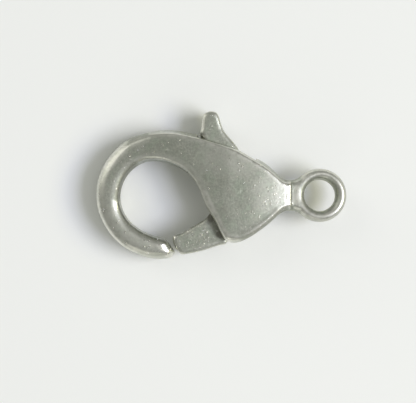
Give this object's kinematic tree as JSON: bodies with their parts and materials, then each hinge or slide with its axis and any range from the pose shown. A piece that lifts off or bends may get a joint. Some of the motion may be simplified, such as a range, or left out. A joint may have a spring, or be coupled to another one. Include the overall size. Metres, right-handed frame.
{
  "type": "lobster clasp",
  "caption": "Cast lobster clasp: an open hook, a flat housing and a ring for a jump ring, with a sprung thumb lever whose gate closes the hook.",
  "frame": {"origin": "centre of the ring's hole, on the clasp's middle plane", "axes": "+X from the hook to the ring, +Y towards the thumb piece, +Z out of the front face"},
  "size_m": [0.015, 0.0088, 0.0028],
  "materials": {
    "body": "aged silver plating over cast zinc alloy, worn and speckled",
    "lever": "aged silver plating over cast zinc alloy, darker and more speckled",
    "pivot_pin": "plain steel, ground flush",
    "return_spring": "plain spring wire"
  },
  "bodies": {
    "clasp": {"body": "body", "pivot_pin": "pivot_pin", "return_spring": "return_spring"},
    "lever": {"lever": "lever"}
  },
  "joints": [
    {"name": "lever_turn", "type": "hinge", "parent": "clasp", "child": "lever", "pos_m": [-0.0047, 0.00015, 0], "axis": [0, 0, -1], "range_deg": [0, 20], "stiffness_Nm_per_rad": 0.001, "springref_deg": -4.58}
  ]
}
